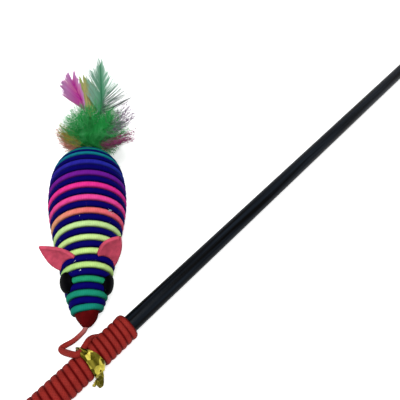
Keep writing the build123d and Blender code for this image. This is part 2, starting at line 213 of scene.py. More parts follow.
def lengths_along(points):
    """Length of a line up to each of its points."""
    return np.concatenate([[0], np.cumsum(np.linalg.norm(np.diff(points, axis=0), axis=1))])


def carried_normals(points, first):
    """Normals carried along a line with the least twist."""
    normal = np.asarray(first, float)
    normals = []
    for way in tangents_of(points):
        normal = unit(normal - way * normal.dot(way))
        normals.append(normal)
    return np.array(normals)


def ring_faces(rings, sides, first=0):
    """Faces between neighbouring rings of vertices, which are numbered from first."""
    faces = []
    for low in range(first, first + (rings - 1) * sides, sides):
        for j in range(sides):
            k = (j + 1) % sides
            faces.append((low + j, low + k, low + sides + k, low + sides + j))
    return faces


def swept_tube(name, points, outs, half_out, half_side, sides, material, ripple=None, square=0.0, shares=None):
    """Closed tube along points, with an oval section set by its half sizes, and a UV map of length and turn."""
    points = np.asarray(points, float)
    count = len(points)
    ways = tangents_of(points)
    outs = unit(outs - ways * np.sum(outs * ways, axis=1, keepdims=True))
    across = np.cross(ways, outs)
    run = lengths_along(points)
    angles = 2 * math.pi * np.arange(sides) / sides
    swell = ripple(run[:, None], angles[None, :]) if ripple else 1.0
    # The oval is blunter where its square share is above nought
    blunt = 1 - 0.45 * np.broadcast_to(square, count)[:, None]
    rings = points[:, None]
    for side, half, wave in ((outs, half_out, np.cos(angles)), (across, half_side, np.sin(angles))):
        bulge = np.sign(wave) * np.abs(wave) ** blunt * swell
        rings = rings + side[:, None] * (np.broadcast_to(half, count)[:, None] * bulge)[:, :, None]
    last = (count - 1) * sides
    caps = [tuple(range(sides - 1, -1, -1)), tuple(range(last, last + sides))]
    piece = new_piece(name, rings.reshape(-1, 3), ring_faces(count, sides) + caps, material)
    corners = ((0, 0), (0, 1), (1, 1), (1, 0))
    uvs = [(run[i + a], (j + b) / sides) for i in range(count - 1) for j in range(sides) for a, b in corners]
    map_faces(piece, uvs + [(0.0, 0.0)] * sides + [(run[-1], 0.0)] * sides)
    store(piece, "run", np.repeat(run / run[-1] if shares is None else shares, sides))
    return piece


def sheet_piece(name, grid, material, thickness, tones=None):
    """Sheet of a given thickness through a grid of points, left faceted where it has tones."""
    rows, columns = grid.shape[:2]
    corners = [
        [(i, j), (i, j + 1), (i + 1, j + 1), (i + 1, j)] for i in range(rows - 1) for j in range(columns - 1)
    ]
    faces = [[i * columns + j for i, j in face] for face in corners]
    piece = new_piece(name, grid.reshape(-1, 3), faces, material, tones is None)
    map_faces(piece, [(j / (columns - 1), i / (rows - 1)) for face in corners for i, j in face])
    if tones is not None:
        store(piece, "tone", tones)
    solid = piece.modifiers.new("Thickness", "SOLIDIFY")
    solid.thickness = thickness * MM
    solid.offset = 0
    apply_modifiers(piece)
    return piece


def revolved_piece(name, profile, sides, place, axis, first, second, material, wobble=None):
    """Closed solid round an axis, through stations and radii from its highest station to its lowest."""
    vertices = [place + axis * profile[0][0]]
    for station, radius in profile[1:-1]:
        for angle in 2 * math.pi * np.arange(sides) / sides:
            out = first * math.cos(angle) + second * math.sin(angle)
            swell = wobble(station, angle) if wobble else 1
            vertices.append(place + axis * station + out * radius * swell)
    vertices.append(place + axis * profile[-1][0])
    faces = ring_faces(len(profile) - 2, sides, 1)
    last = len(vertices) - 1
    for j in range(sides):
        k = (j + 1) % sides
        faces += [(0, 1 + k, 1 + j), (last - sides + j, last - sides + k, last)]
    return new_piece(name, vertices, faces, material)


def spline_points(name, control, resolution):
    """Points along a NURBS spline, in millimetres."""
    curve = bpy.data.curves.new(name, "CURVE")
    curve.dimensions = "3D"
    spline = curve.splines.new("NURBS")
    spline.points.add(len(control) - 1)
    for point, place in zip(spline.points, control):
        point.co = (*(np.asarray(place) * MM), 1)
    spline.order_u = 3
    spline.use_endpoint_u = True
    spline.resolution_u = resolution
    guide = bpy.data.objects.new(name, curve)
    bpy.context.scene.collection.objects.link(guide)
    line = bpy.data.meshes.new_from_object(guide.evaluated_get(bpy.context.evaluated_depsgraph_get()))
    points = np.array([tuple(v.co) for v in line.vertices]) / MM
    bpy.data.objects.remove(guide)
    bpy.data.meshes.remove(line)
    return points


# Nodes

# The colour sockets of a Mix node and the number sockets of a Random Value node share their names with others
MIX_A, MIX_B, MIX_RESULT = 6, 7, 2
RANDOM_MIN, RANDOM_MAX, RANDOM_VALUE = 2, 3, 1


def feed(tree, node, inputs):
    """Puts numbers, colours or links from other sockets on a node's inputs."""
    for label, value in inputs.items():
        socket = node.inputs[label]
        if isinstance(value, bpy.types.NodeSocket):
            tree.links.new(value, socket)
        else:
            socket.default_value = (*value, 1) if socket.type == "RGBA" else value


def add_node(tree, kind, inputs=None, **settings):
    """Node with its settings and inputs."""
    node = tree.nodes.new(kind)
    for label, value in settings.items():
        setattr(node, label, value)
    feed(tree, node, inputs or {})
    return node


def maths(tree, operation, *values):
    """Math node on sockets and numbers."""
    return add_node(tree, "ShaderNodeMath", dict(enumerate(values)), operation=operation).outputs[0]


def mix_colours(tree, factor, first, second):
    """Mix of two colours by a factor socket."""
    inputs = {"Factor": factor, MIX_A: first, MIX_B: second}
    return add_node(tree, "ShaderNodeMix", inputs, data_type="RGBA").outputs[MIX_RESULT]


def new_group(name, kind, inputs, outputs):
    """Node group with named inputs and outputs: its tree, the sockets it takes from and its end node."""
    tree = bpy.data.node_groups.new(name, kind)
    for label, (sort, value) in inputs.items():
        socket = tree.interface.new_socket(label, in_out="INPUT", socket_type="NodeSocket" + sort)
        if value is not None:
            socket.default_value = value
    for label, sort in outputs.items():
        tree.interface.new_socket(label, in_out="OUTPUT", socket_type="NodeSocket" + sort)
    return tree, tree.nodes.new("NodeGroupInput").outputs, tree.nodes.new("NodeGroupOutput")


# Geometry Nodes: strands scattered on points


def strand_tree(name):
    """Tree that puts a tapered, curled ribbon on every point, aimed and sized by the point's attributes."""
    tree, source, result = new_group(
        name,
        "GeometryNodeTree",
        {
            "Points": ("Geometry", None), "Segments": ("Int", 4), "Taper": ("Float", 0.8), "Curl": ("Float", 0.1),
            "Size Spread": ("Float", 0.2), "Seed": ("Int", 1), "Material": ("Material", None),
        },
        {"Strands": "Geometry"},
    )
    rows = maths(tree, "ADD", source["Segments"], 1)
    ribbon = add_node(tree, "GeometryNodeMeshGrid", {"Vertices X": 2, "Vertices Y": rows}).outputs
    mapped = add_node(
        tree,
        "GeometryNodeStoreNamedAttribute",
        {"Geometry": ribbon["Mesh"], "Name": "UVMap", "Value": ribbon["UV Map"]},
        data_type="FLOAT2",
        domain="CORNER",
    )
    place = add_node(tree, "GeometryNodeInputPosition").outputs[0]
    flat = add_node(tree, "ShaderNodeSeparateXYZ", {0: place}).outputs
    along = maths(tree, "ADD", flat["Y"], 0.5)
    narrow = maths(tree, "SUBTRACT", 1.0, maths(tree, "MULTIPLY", along, source["Taper"]))
    width = maths(tree, "MULTIPLY", flat["X"], narrow)
    lift = maths(tree, "MULTIPLY", maths(tree, "MULTIPLY", along, along), source["Curl"])
    shaped = add_node(tree, "ShaderNodeCombineXYZ", {"X": width, "Y": along, "Z": lift}).outputs[0]
    bent = add_node(
        tree, "GeometryNodeSetPosition", {"Geometry": mapped.outputs["Geometry"], "Position": shaped}
    )
    aim, size = (
        add_node(tree, "GeometryNodeInputNamedAttribute", {"Name": label}, data_type=kind).outputs["Attribute"]
        for label, kind in (("aim", "QUATERNION"), ("size", "FLOAT_VECTOR"))
    )
    spread = {
        RANDOM_MIN: maths(tree, "SUBTRACT", 1.0, source["Size Spread"]),
        RANDOM_MAX: maths(tree, "ADD", 1.0, source["Size Spread"]),
        "Seed": source["Seed"],
    }
    chance = add_node(tree, "FunctionNodeRandomValue", spread, data_type="FLOAT").outputs[RANDOM_VALUE]
    scaled = add_node(tree, "ShaderNodeVectorMath", {0: size, "Scale": chance}, operation="SCALE").outputs[0]
    scatter = add_node(
        tree,
        "GeometryNodeInstanceOnPoints",
        {"Points": source["Points"], "Instance": bent.outputs["Geometry"], "Rotation": aim, "Scale": scaled},
    )
    real = add_node(tree, "GeometryNodeRealizeInstances", {"Geometry": scatter.outputs["Instances"]})
    painted = add_node(
        tree, "GeometryNodeSetMaterial", {"Geometry": real.outputs["Geometry"], "Material": source["Material"]}
    )
    feed(tree, result, {"Strands": painted.outputs["Geometry"]})
    return tree


def aims(ways, faces):
    """Quaternions that turn +Y to each way and +Z as near as can be to each face."""
    turns = []
    for way, face in zip(unit(ways), np.asarray(faces, float)):
        side = unit(np.cross(way, face) + 1e-9)
        rows = np.column_stack([side, way, np.cross(side, way)])
        turns.append(tuple(Matrix(rows.tolist()).to_quaternion()))
    return turns


def strands(name, places, ways, faces, lengths, width, tones, material, **inputs):
    """Piece of ribbons, in millimetres, that stand on places, point along ways and face faces."""
    count = len(places)
    piece = new_piece(name, places, [])
    lengths = np.broadcast_to(lengths, count) * MM
    store(piece, "aim", aims(ways, faces), "QUATERNION")
    store(piece, "size", np.column_stack([np.full(count, width * MM), lengths, lengths]), "FLOAT_VECTOR", "vector")
    store(piece, "tone", np.broadcast_to(tones, count))
    modifier = piece.modifiers.new("Strands", "NODES")
    tree = "Scattered Strands"
    modifier.node_group = bpy.data.node_groups.get(tree) or strand_tree(tree)
    sockets = modifier.node_group.interface.items_tree
    names = {socket.name: socket.identifier for socket in sockets if socket.in_out == "INPUT"}
    for label, value in {**inputs, "Material": material}.items():
        modifier[names[label.replace("_", " ")]] = value
    apply_modifiers(piece)
    for used in ("aim", "size"):
        if used in piece.data.attributes:
            piece.data.attributes.remove(piece.data.attributes[used])
    return piece


# Effects that materials share


def uv_axes(tree):
    """Parts of a piece's own UV map."""
    mapped = add_node(tree, "ShaderNodeUVMap", uv_map="UVMap").outputs["UV"]
    return add_node(tree, "ShaderNodeSeparateXYZ", {0: mapped}).outputs


def mottle_tree(name):
    """Soft change of colour and height by Object coordinates, which may be drawn out along the rod."""
    tree, source, result = new_group(
        name,
        "ShaderNodeTree",
        {
            "Light": ("Color", (1, 1, 1, 1)), "Dark": ("Color", (0, 0, 0, 1)), "Scale": ("Float", 300.0),
            "Detail": ("Float", 4.0), "Stretch": ("Float", 1.0),
        },
        {"Color": "Color", "Height": "Float"},
    )
    place = add_node(tree, "ShaderNodeTexCoord").outputs["Object"]
    length = add_node(tree, "ShaderNodeCombineXYZ", {"X": source["Stretch"], "Y": 1, "Z": 1}).outputs[0]
    drawn = add_node(tree, "ShaderNodeVectorMath", {0: place, 1: length}, operation="DIVIDE").outputs[0]
    clouds = {"Vector": drawn, "Scale": source["Scale"], "Detail": source["Detail"]}
    noise = add_node(tree, "ShaderNodeTexNoise", clouds).outputs["Fac"]
    spread = add_node(tree, "ShaderNodeMapRange", {"Value": noise, "From Min": 0.35, "From Max": 0.65})
    mixed = mix_colours(tree, spread.outputs["Result"], source["Dark"], source["Light"])
    feed(tree, result, {"Color": mixed, "Height": noise})
    return tree


def thread_tree(name):
    """Threads that wind round a cord or yarn, by its UV map of length in millimetres and turn."""
    sizes = {"Threads": ("Float", 3.0), "Turns per mm": ("Float", 0.25)}
    tree, source, result = new_group(name, "ShaderNodeTree", sizes, {"Mask": "Float"})
    axes = uv_axes(tree)
    turned = maths(tree, "MULTIPLY", axes["X"], source["Turns per mm"])
    angle = maths(tree, "ADD", maths(tree, "MULTIPLY", axes["Y"], source["Threads"]), turned)
    wave = maths(tree, "SINE", maths(tree, "MULTIPLY", angle, 2 * math.pi))
    feed(tree, result, {"Mask": maths(tree, "MULTIPLY_ADD", wave, 0.5, 0.5)})
    return tree


def flank_tree(name):
    """Mask of a wound row's flanks, where painted shade goes, by its UV map of length and turn, where its turn starts
    at the crest.
    """
    sizes = {"Start": ("Float", 0.85), "End": ("Float", 0.45)}
    tree, source, result = new_group(name, "ShaderNodeTree", sizes, {"Mask": "Float"})
    crest = maths(tree, "COSINE", maths(tree, "MULTIPLY", uv_axes(tree)["Y"], 2 * math.pi))
    span = {"Value": crest, "From Min": source["Start"], "From Max": source["End"]}
    fall = add_node(tree, "ShaderNodeMapRange", span, interpolation_type="SMOOTHSTEP")
    feed(tree, result, {"Mask": fall.outputs["Result"]})
    return tree


EFFECTS = {"Mottle": mottle_tree, "Threads": thread_tree, "Flanks": flank_tree}


def add_effect(tree, name, inputs):
    """Outputs of a shared effect in a material. Its group is built when it is first used."""
    group = bpy.data.node_groups.get(name) or EFFECTS[name](name)
    return add_node(tree, "ShaderNodeGroup", inputs, node_tree=group).outputs


def add_mottle(tree, light, dark, scale, detail=4.0, stretch=1.0):
    """Mottle between two colours or two sockets."""
    inputs = {"Light": light, "Dark": dark, "Scale": scale, "Detail": detail, "Stretch": stretch}
    return add_effect(tree, "Mottle", inputs)


def add_grain(tree, scale, detail=4.0):
    """Height of a mottle."""
    return add_mottle(tree, (1, 1, 1), (0, 0, 0), scale, detail)["Height"]


def add_threads(tree, threads, turns):
    """Mask of a number of threads with turns per millimetre."""
    return add_effect(tree, "Threads", {"Threads": threads, "Turns per mm": turns})["Mask"]


def add_flanks(tree, start, end):
    """Mask of a row's flanks for painted shade, from nought at its start to one at its end."""
    return add_effect(tree, "Flanks", {"Start": start, "End": end})["Mask"]


# Materials


def new_material(name, roughness, metallic=0.0, specular=0.05):
    """Material with a Principled shader, and its tree."""
    material = bpy.data.materials.new(name)
    material.use_nodes = True
    tree = material.node_tree
    shader = tree.nodes["Principled BSDF"]
    feed(tree, shader, {"Roughness": roughness, "Metallic": metallic, "Specular IOR Level": specular})
    return material, tree, shader


def paint_shader(tree, shader, colour, height, strength, distance):
    """Puts a colour socket on a shader, and a bump from a height socket, in millimetres."""
    bump = add_node(tree, "ShaderNodeBump", {"Strength": strength, "Distance": distance * MM, "Height": height})
    feed(tree, shader, {"Base Color": colour, "Normal": bump.outputs["Normal"]})


def attribute(tree, name):
    """Value of a piece's attribute."""
    return add_node(tree, "ShaderNodeAttribute", attribute_name=name).outputs["Fac"]


def add_ramp(tree, factor, stops):
    """Colour ramp through shares and colours in their order."""
    ramp = add_node(tree, "ShaderNodeValToRGB", {"Fac": factor})
    bands = ramp.color_ramp.elements
    # A new ramp has its two ends
    for i, (share, colour) in enumerate([stops[0], stops[-1], *stops[1:-1]]):
        band = bands[i] if i < 2 else bands.new(share)
        band.position = share
        band.color = (*colour, 1)
    return ramp.outputs["Color"]


def shade(colour, share):
    """Colour made darker or lighter."""
    return tuple(min(1.0, c * share) for c in colour)


def coated_material(name, colour, roughness, spread, scale, stretch=1.0):
    """Moulded or lacquered finish with faint clouding."""
    material, tree, shader = new_material(name, roughness, specular=0.04)
    clouds = add_mottle(tree, shade(colour, 1 + spread), shade(colour, max(0, 1 - spread)), scale, 4.0, stretch)
    feed(tree, shader, {"Roughness": maths(tree, "MULTIPLY_ADD", clouds["Height"], 0.3, roughness - 0.15)})
    paint_shader(tree, shader, clouds["Color"], add_grain(tree, scale * 9), 0.25, 0.05)
    return material


def cord_material(colour, groove_and_shade):
    """Fine woven elastic: slender crossing threads, darker between them, with painted shade between its wound turns,
    pale where drawn.
    """
    material, tree, shader = new_material("Woven cord", 0.62)
    weave = maths(tree, "MAXIMUM", add_threads(tree, 9.0, 1.1), add_threads(tree, 9.0, -1.1))
    worn = add_mottle(tree, shade(colour, 1.1), shade(colour, 0.88), 600.0)["Color"]
    deep = maths(tree, "POWER", maths(tree, "SUBTRACT", 1.0, weave), 1.5)
    woven = mix_colours(tree, maths(tree, "MULTIPLY", deep, 0.35), worn, groove_and_shade)
    # Painted shade: the flanks of the wound turns darken to the groove colour where the turns meet
    flank = maths(tree, "MULTIPLY", add_flanks(tree, 0.99, 0.66), attribute(tree, "wound"))
    wound = mix_colours(tree, flank, woven, groove_and_shade)
    drawn = mix_colours(tree, attribute(tree, "stretch"), wound, srgb(206, 160, 156))
    paint_shader(tree, shader, drawn, weave, 0.3, 0.05)
    return material


def foil_material(colour):
    """Gold foil crumpled into facets, with painted reflections that make them bright and dark by turns, and painted
    shade where its tone says.
    """
    material, tree, shader = new_material("Gold foil", 0.3, metallic=1.0, specular=0.5)
    place = add_node(tree, "ShaderNodeTexCoord").outputs["Object"]
    laid = {"Vector": place, "Location": (0.0, 0.0017, 0.0009), "Scale": (1.0, 0.75, 0.75)}
    drawn = add_node(tree, "ShaderNodeMapping", laid).outputs["Vector"]
    facets = add_node(tree, "ShaderNodeTexVoronoi", {"Vector": drawn, "Scale": 640.0}).outputs["Color"]
    chance = add_node(tree, "ShaderNodeSeparateColor", {"Color": facets}).outputs["Red"]
    # Painted reflections: each facet is bright or dark at random, and darker where the folds carry painted shade
    painted_reflection = maths(tree, "MULTIPLY_ADD", attribute(tree, "tone"), 0.4, chance)
    # Share of the painted reflection's darkness and level of the colour there, which loses its blue first
    levels = ((0.17, 1.0), (0.35, 0.5), (0.62, 0.3), (0.92, 0.08))
    stops = [(share, (*shade(colour, level)[:2], colour[2] * level ** 1.3)) for share, level in levels]
    paint_shader(tree, shader, add_ramp(tree, painted_reflection, stops), add_grain(tree, 700.0, 2.0), 0.2, 0.1)
    return material


def yarn_material(name, stops):
    """Tightly gimped yarn, in colours at shares of its length, with fine rings of thread and painted shade on the
    flanks of its rows.
    """
    material, tree, shader = new_material(name, 0.7, specular=0.02)
    colour = add_ramp(tree, attribute(tree, "run"), stops)

    def toned(value, saturation):
        inputs = {"Color": colour, "Value": value, "Saturation": saturation}
        return add_node(tree, "ShaderNodeHueSaturation", inputs).outputs["Color"]

    dim, painted_shade = toned(0.62, 1.1), toned(0.22, 1.0)
    rings, plies = add_threads(tree, 1.0, 1.9), add_threads(tree, 2.0, 0.3)
    deep = maths(tree, "MULTIPLY", maths(tree, "SUBTRACT", 1.0, rings), 0.35)
    gimped = mix_colours(tree, deep, colour, dim)
    soft = mix_colours(tree, maths(tree, "MULTIPLY", plies, 0.2), gimped, dim)
    fibres = add_mottle(tree, soft, dim, 1300.0)
    blended = mix_colours(tree, maths(tree, "MULTIPLY", fibres["Height"], 0.3), soft, fibres["Color"])
    # Painted shade: each row darkens on its flanks, where it meets the next row
    shaded = mix_colours(tree, add_flanks(tree, 0.98, 0.35), blended, painted_shade)
    paint_shader(tree, shader, shaded, maths(tree, "MULTIPLY_ADD", fibres["Height"], 0.5, rings), 0.3, 0.06)
    return material


def felt_material(name, colour):
    """Pressed felt: clouded colour and a matted surface."""
    material, tree, shader = new_material(name, 0.95)
    clouds = add_mottle(tree, shade(colour, 1.15), shade(colour, 0.82), 420.0, 6.0)["Color"]
    paint_shader(tree, shader, clouds, add_grain(tree, 2200.0, 6.0), 0.6, 0.15)
    return material


def bead_material(colour):
    """Black bead, faintly clouded."""
    material, tree, shader = new_material("Eye bead", 0.5, specular=0.01)
    clouds = add_mottle(tree, shade(colour, 1.5), shade(colour, 0.6), 500.0)
    paint_shader(tree, shader, clouds["Color"], clouds["Height"], 0.1, 0.1)
    return material


def feather_material(name, root, tip, second, fade):
    """Feather barbs: from a root to a tip colour along each barb, and towards a second colour by its tone, which on
    the hackle also carries painted shade.
    """
    material, tree, shader = new_material(name, 0.7)
    barb = mix_colours(tree, maths(tree, "POWER", uv_axes(tree)["Y"], fade), root, tip)
    feed(tree, shader, {"Base Color": mix_colours(tree, attribute(tree, "tone"), barb, second)})
    return material


# Rod


class TeaserRodOperator(bpy.types.Operator):
    """Finishes the rod, its grip and its tip cap"""

    bl_idname = "teaser.rod"
    bl_label = "Rod and Ends"

    def execute(self, context):
        settings = context.scene.teaser.wand
        lacquer = coated_material("Black lacquer", tuple(settings.rod_colour), 0.34, 2.2, 900.0, 40.0)
        moulded = coated_material("Red moulding", tuple(settings.end_colour), 0.42, 0.1, 180.0)
        for node, coat in (("rod", lacquer), ("handle_grip", moulded), ("tip_cap", moulded)):
            paint_node(node, coat)
        return {"FINISHED"}


# Cord

REAR_TURNS, FRONT_TURNS = 15, 6
TURNS = REAR_TURNS + FRONT_TURNS + 1
# Points of the route in each turn, and points that the spline gives for each of them
TURN_STEPS, SPLINE_STEPS = 16, 4
WINDING_PITCH, TIE_STEP = 2.1, 4.6
WINDING_TIP, FIRST_ANGLE = 312.0, 150
HITCH_PLACE = 314.1
ROD_GAP = 0.05
CORD_SIDES = 16
# How far the cord runs into the nose
NOSE_DEPTH = 6.5
# Both routes are given from the winding's rod-side end
RETURN_ROUTE = [
    (1.3, -3.8, 1.0), (1.35, -4.35, -0.2), (1.6, -4.9, -1.5), (2.3, -5.0, -2.6), (4.6, -4.6, -3.3),
    (8.2, -4.7, -3.1), (10.8, -5.75, -0.7), (12.5, -5.0, 1.6), (13.5, -4.0, 3.0), (15.0, -3.2, 3.7),
    (16.3, -2.5, 4.4), (17.4, -2.2, 5.1), (18.3, -2.8, 5.0), (18.9, -4.2, 4.1), (19.6, -6.6, 2.2),
]
LEAD_ROUTE = [
    (20.1, -8.4, 1.0), (20.0, -10.0, 0.1), (18.5, -9.9, -0.1), (16.0, -8.95, 0.1), (13.2, -8.75, 0.5),
    (11.1, -8.75, 1.0),
]


def winding_place(turn, radius):
    """Point of the winding after a number of turns from its tip end."""
    rear, front = min(turn, REAR_TURNS), max(turn - REAR_TURNS - 1, 0)
    step = min(max(turn - REAR_TURNS, 0), 1)
    step = step * step * (3 - 2 * step)
    angle = math.radians(FIRST_ANGLE + 360 * turn)
    x = WINDING_TIP - WINDING_PITCH * (rear + front) - TIE_STEP * step
    return np.array([x, radius * math.cos(angle), radius * math.sin(angle)])


def from_winding(points):
    """Points given from the winding's rod-side end."""
    return np.asarray(points) + [WINDING_START, 0, 0]


def outside_corners(radius):
    """Radius of a turn's points, because the spline through them runs a little inside."""
    return radius / (0.75 + 0.25 * math.cos(2 * math.pi / TURN_STEPS))


def cord_route(radius):
    """Control points of the whole cord, from the hitch through the winding and the tie to the nose."""
    outside = outside_corners(radius)
    steps = np.arange(TURNS * TURN_STEPS + 1) / TURN_STEPS
    # The last turn slants across the rod and tucks in at its end
    tuck = np.interp(steps, [TURNS - 0.5, TURNS - 0.25, TURNS], [0, 0.2, 0.25])
    slant = np.interp(steps, [TURNS - 1.1, TURNS - 0.55, TURNS], [0, -0.35, 0.55])
    winding = [winding_place(t, outside - inward) + [shift, 0, 0] for t, inward, shift in zip(steps, tuck, slant)]
    hitch = winding[0] - unit(winding[1] - winding[0]) * 3.2
    end = [NOSE + WAY * station for station in (0.3, 3, NOSE_DEPTH)]
    return [hitch, *winding, *from_winding(RETURN_ROUTE + LEAD_ROUTE), *end]


class TeaserCordOperator(bpy.types.Operator):
    """Lays the red cord: hitch, winding, the stretch back to the tie and the lead to the nose"""

    bl_idname = "teaser.cord"
    bl_label = "Cord"

    def execute(self, context):
        settings = context.scene.teaser.cord
        material = cord_material(tuple(settings.colour), tuple(settings.groove_and_shade))
        high, wide, free = (v / MM for v in (settings.wound_height, settings.wound_width, settings.thickness))
        control = cord_route(ROD_RADIUS + ROD_GAP + high / 2)
        points = spline_points("cord_route", control, SPLINE_STEPS)
        wound_end = control[TURNS * TURN_STEPS + 1]
        last = np.argmin(np.linalg.norm(points - wound_end, axis=1))
        outs = points * [0, 1, 1]
        outs[last:] = carried_normals(points[last:], outs[last])
        run = lengths_along(points)
        loose = np.clip((run - run[last]) / 6.0, 0, 1)
        front = np.clip((WINDING_START + 14.0 - points[:, 0]) / 4, 0, 1) * (run <= run[last])
        # The free cord is drawn thinner and paler towards the nose
        drawn = np.clip(1 - (run[-1] - run - NOSE_DEPTH) / 14, 0, 1) * loose
        half_free = free / 2 * (1 - 0.25 * drawn)
        half_out = high / 2 * (1 + 0.03 * front) * (1 - loose) + half_free * loose
        half_side = wide / 2 * (1 - loose) + half_free * loose
        cord = swept_tube(
            "cord", points, outs, half_out, half_side, CORD_SIDES, material, square=0.2 * (1 - loose)
        )
        store(cord, "wound", np.repeat(1 - loose, CORD_SIDES))
        store(cord, "stretch", np.repeat(0.6 * drawn ** 5, CORD_SIDES))
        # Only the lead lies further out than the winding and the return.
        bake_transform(cord)
        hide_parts("cord_winding", "cord_return", "cord_lead")
        ring, knot = self.tie_hitch(points[0], material, high, wide)
        paint_node("cord_nose_knot", coated_material("Cord knot", tuple(settings.colour), 0.7, 0.2, 700.0))
        return {"FINISHED"}

    def tie_hitch(self, place, material, high, wide):
        """Loop round the rod with its overhand knot, which has the form of a trefoil."""
        turn = np.linspace(0, 2 * math.pi, TURN_STEPS + 1)
        radius = outside_corners(ROD_RADIUS + ROD_GAP + high / 2)
        loop = np.column_stack([HITCH_PLACE + 0.25 * np.sin(turn), radius * np.cos(turn), radius * np.sin(turn)])
        loop = spline_points("hitch_loop_route", loop, SPLINE_STEPS)
        ring = swept_tube("hitch_loop", loop, loop * [0, 1, 1], high / 2, wide / 2 * 0.9, 12, material)
        turn = np.linspace(0, 2 * math.pi, 25)
        coil = np.column_stack([
            np.sin(turn) + 2 * np.sin(2 * turn), -np.sin(3 * turn), np.cos(turn) - 2 * np.cos(2 * turn)
        ]) * 0.54
        out, along = unit(place * [0, 1, 1]), np.array([1.0, 0, 0])
        bends = place + coil @ np.array([along, out, np.cross(out, along)])
        bends = spline_points("hitch_knot_route", bends, SPLINE_STEPS)
        knot = swept_tube("hitch_knot", bends, carried_normals(bends, out), 0.7, 0.7, 10, material)
        for piece in (ring, knot):
            settle(piece, "wand", "cord_red", "cord_hitch")
        return ring, knot


# Foil tie


def finer(table, rows):
    """Table with its rows spread over a number of rows, and even steps between them."""
    table = np.asarray(table, float)
    share, fine = np.linspace(0, 1, len(table)), np.linspace(0, 1, rows)
    return np.column_stack([np.interp(fine, share, column) for column in table.T])


def strip_grid(places, rows, first_side):
    """Grid of a strip, four points wide, along places from the winding's end with a width and a turn at each."""
    *line, breadth, spin = finer(places, rows).T
    line = from_winding(np.column_stack(line))
    soft = line.copy()
    soft[1:-1] = (line[:-2] + 2 * line[1:-1] + line[2:]) / 4
    spin = np.radians(spin)[:, None]
    sides = carried_normals(soft, first_side)
    turned = sides * np.cos(spin) + np.cross(tangents_of(soft), sides) * np.sin(spin)
    return soft[:, None] + turned[:, None] * (breadth[:, None] * np.linspace(-0.5, 0.5, 4))[:, :, None]


class TeaserTieOperator(bpy.types.Operator):
    """Folds the gold foil tie over the winding and twists its ends"""

    bl_idname = "teaser.tie"
    bl_label = "Foil Tie"

    # The folded band: turn round the rod, its tip-side and rod-side edges from the winding's end, its height
    band = [
        (160, 16.6, 16.9, 6.0), (146, 16.4, 17.0, 6.1), (128, 16.0, 17.1, 6.2), (110, 15.2, 17.3, 5.9),
        (96, 14.5, 17.4, 5.6), (83, 13.8, 17.2, 5.3), (64, 13.35, 17.25, 5.25), (45, 13.2, 17.6, 5.25),
        (27, 13.2, 17.85, 5.3), (14, 13.8, 17.95, 5.3), (5, 15.0, 18.0, 5.2), (-8, 15.9, 18.2, 5.1),
        (-30, 15.7, 17.6, 5.0), (-80, 15.5, 17.0, 4.95), (-140, 15.8, 17.2, 5.0), (-196, 16.2, 17.2, 5.9),
    ]
    # Height of each fold across the band, and the painted shade on it, darkest in the hollows and at the edges
    folds = np.array([0.0, 0.55, 0.1, 0.6, 0.0])
    fold_painted_shade = np.array([0.8, 0.1, 0.3, 0.1, 0.75])
    # Each strip: node, rows, first side, crumple, and its places with a width and a turn at each
    strips = {
        "tie_twist": (
            "twist_tie_twist", 8, (1, 0, 0), 0.12,
            [
                (16.4, 5.3, 1.6, 3.0, 0), (16.8, 5.4, 0.2, 2.4, 20), (17.0, 5.7, -1.1, 2.0, 45),
                (17.5, 6.1, -2.0, 2.8, 60), (18.3, 6.2, -2.6, 3.2, 60), (18.9, 5.9, -3.0, 2.4, 50),
            ],
        ),
        "tie_tail": (
            "twist_tie_tails", 7, (0.3, 0.5, 0.8), 0.1,
            [
                (17.9, 5.3, -0.9, 0.9, 0), (18.7, 5.4, -1.9, 1.6, 40), (19.6, 5.5, -2.6, 1.5, 70),
                (20.0, 5.3, -3.0, 0.8, 90),
            ],
        ),
    }

    def execute(self, context):
        material = foil_material(tuple(context.scene.teaser.cord.foil))
        chance = np.random.default_rng(11)
        pieces = [("tie_band", "twist_tie_band", self.folded_band(chance))]
        for name, (node, rows, side, crumple, places) in self.strips.items():
            grid = strip_grid(places, rows, side)
            pieces.append((name, node, grid + chance.normal(0, crumple, grid.shape)))
        for name, node, grid in pieces:
            grid[:, :, 2] = np.maximum(grid[:, :, 2], FLOOR_HEIGHT + 0.1)
            # The folds carry painted shade in turn, and the painted shade comes and goes along the strip
            rows, columns = grid.shape[:2]
            drift = chance.normal(0, 0.22, (rows + 2, columns))
            drift = drift[:-2] + drift[1:-1] + drift[2:]
            tones = np.clip(self.fold_painted_shade[:columns] + drift, 0, 1)
            settle(sheet_piece(name, grid, material, 0.08, tones), "wand", "foil_gold", node)
        return {"FINISHED"}

    def folded_band(self, chance):
        """Grid of the band, gathered into folds where it faces up."""
        turn, front, rear, height = finer(self.band, 21).T[:, :, None]
        steps = np.linspace(0, 1, len(self.folds))
        x = WINDING_START + front * (1 - steps) + rear * steps
        gather = np.interp(-turn, [-160, -110, -60, -20, 10, 60, 196], [0.5, 0.7, 1.0, 1.2, 0.8, 0.2, 0.1])
        patches = chance.normal(0, 0.09, x.shape)
        radius = height - 0.2 + self.folds * gather + patches * gather
        angle = np.radians(turn) + chance.normal(0, 0.02, x.shape)
        x = x + chance.normal(0, 0.08, x.shape)
        return np.stack([x, radius * np.cos(angle), radius * np.sin(angle)], axis=2)


# Mouse

# Stations from the nose's tip where the yarn starts and where the body is widest
YARN_START, WIDEST_STATION = 4.4, 46
# Slope of the body's cone, the bend at its widest, and the length and power of the curve that closes it
CONE_SLOPE, CONE_BEND, CLOSE_SPAN, CLOSE_POWER = 0.255, 2.3, 21, 2.6
# The yarn's points are three degrees apart
STEP_ANGLE, STEPS_A_TURN = 3, 120
# Depth of the yarn's line under the outside of the body, and the radius where it ends at the tail
YARN_DEPTH, YARN_END_RADIUS = 0.9, 3.6
